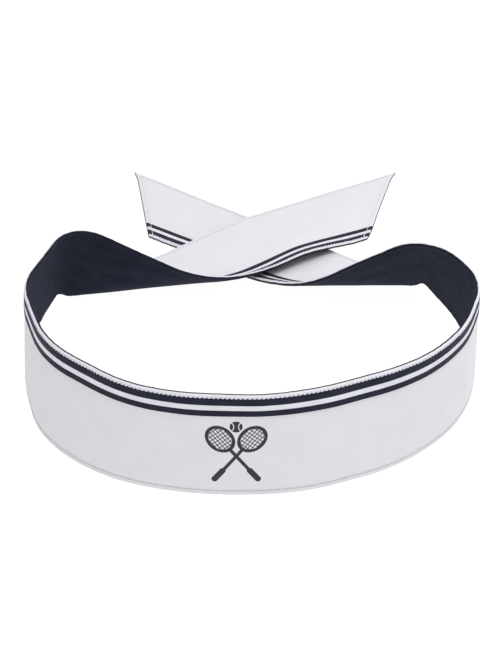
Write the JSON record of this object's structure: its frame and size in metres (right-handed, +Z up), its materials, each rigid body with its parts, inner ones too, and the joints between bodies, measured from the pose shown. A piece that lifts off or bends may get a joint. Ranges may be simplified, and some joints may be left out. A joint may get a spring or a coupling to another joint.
{
  "type": "sports headband",
  "caption": "Tie-back sports headband: a long flat two-layer band with a striped tape along its top edge, a looped brow and two crossing tails.",
  "frame": {"origin": "under the middle of the whole band as it lies, at its lowest point, on the table it rests on", "axes": "+Z up, -Y towards the front of the brow, +Y towards the tail ends, +X to the right hand side seen from the front"},
  "size_m": [0.2272, 0.3442, 0.0585],
  "materials": {
    "shell_white": "matt fine white weave",
    "lining_navy": "matt dark navy knit",
    "stiffener_white": "matt fused interlining",
    "tape_white": "matt white ribbed tape",
    "stripe_navy": "matt navy ribbed stripe",
    "thread_grey": "slightly lustrous polyester thread",
    "print_charcoal": "matt charcoal transfer print"
  },
  "bodies": {
    "brow_loop": {"brow_lining": "lining_navy", "brow_shell": "shell_white", "brow_tape": "tape_white", "brow_upper_stripe": "stripe_navy", "brow_lower_stripe": "stripe_navy", "brow_top_thread": "thread_grey", "brow_bottom_thread": "thread_grey", "brow_stiffener": "stiffener_white", "print_rackets": "print_charcoal", "print_ball": "print_charcoal"},
    "left_tail": {"left_tail_lining": "lining_navy", "left_tail_shell": "shell_white", "left_tail_tape": "tape_white", "left_tail_upper_stripe": "stripe_navy", "left_tail_lower_stripe": "stripe_navy", "left_tail_top_thread": "thread_grey", "left_tail_bottom_thread": "thread_grey"},
    "left_tip": {"left_tip_lining": "lining_navy", "left_tip_shell": "shell_white", "left_tip_tape": "tape_white", "left_tip_upper_stripe": "stripe_navy", "left_tip_lower_stripe": "stripe_navy", "left_tip_top_thread": "thread_grey", "left_tip_bottom_thread": "thread_grey", "left_end_thread": "thread_grey"},
    "right_tail": {"right_tail_lining": "lining_navy", "right_tail_shell": "shell_white", "right_tail_tape": "tape_white", "right_tail_upper_stripe": "stripe_navy", "right_tail_lower_stripe": "stripe_navy", "right_tail_top_thread": "thread_grey", "right_tail_bottom_thread": "thread_grey"},
    "right_tip": {"right_tip_lining": "lining_navy", "right_tip_shell": "shell_white", "right_tip_tape": "tape_white", "right_tip_upper_stripe": "stripe_navy", "right_tip_lower_stripe": "stripe_navy", "right_tip_top_thread": "thread_grey", "right_tip_bottom_thread": "thread_grey", "right_end_thread": "thread_grey"}
  },
  "joints": [
    {"name": "left_tail_lift", "type": "hinge", "parent": "brow_loop", "child": "left_tail", "pos_m": [-0.03338, 0.03809, 0.00562], "axis": [0.9782, 0.2027, 0.0446], "range_deg": [0, 60]},
    {"name": "left_tip_lift", "type": "hinge", "parent": "left_tail", "child": "left_tip", "pos_m": [0.01385, 0.07717, 0.00897], "axis": [0.6168, -0.787, -0.0146], "range_deg": [0, 75]},
    {"name": "right_tail_drop", "type": "hinge", "parent": "brow_loop", "child": "right_tail", "pos_m": [0.03496, 0.04387, 0.00059], "axis": [-0.9922, 0.1241, -0.0064], "range_deg": [0, 60]},
    {"name": "right_tip_drop", "type": "hinge", "parent": "right_tail", "child": "right_tip", "pos_m": [-0.01374, 0.08768, 0.0003], "axis": [-0.6954, -0.7186, -0.0049], "range_deg": [0, 75]}
  ]
}
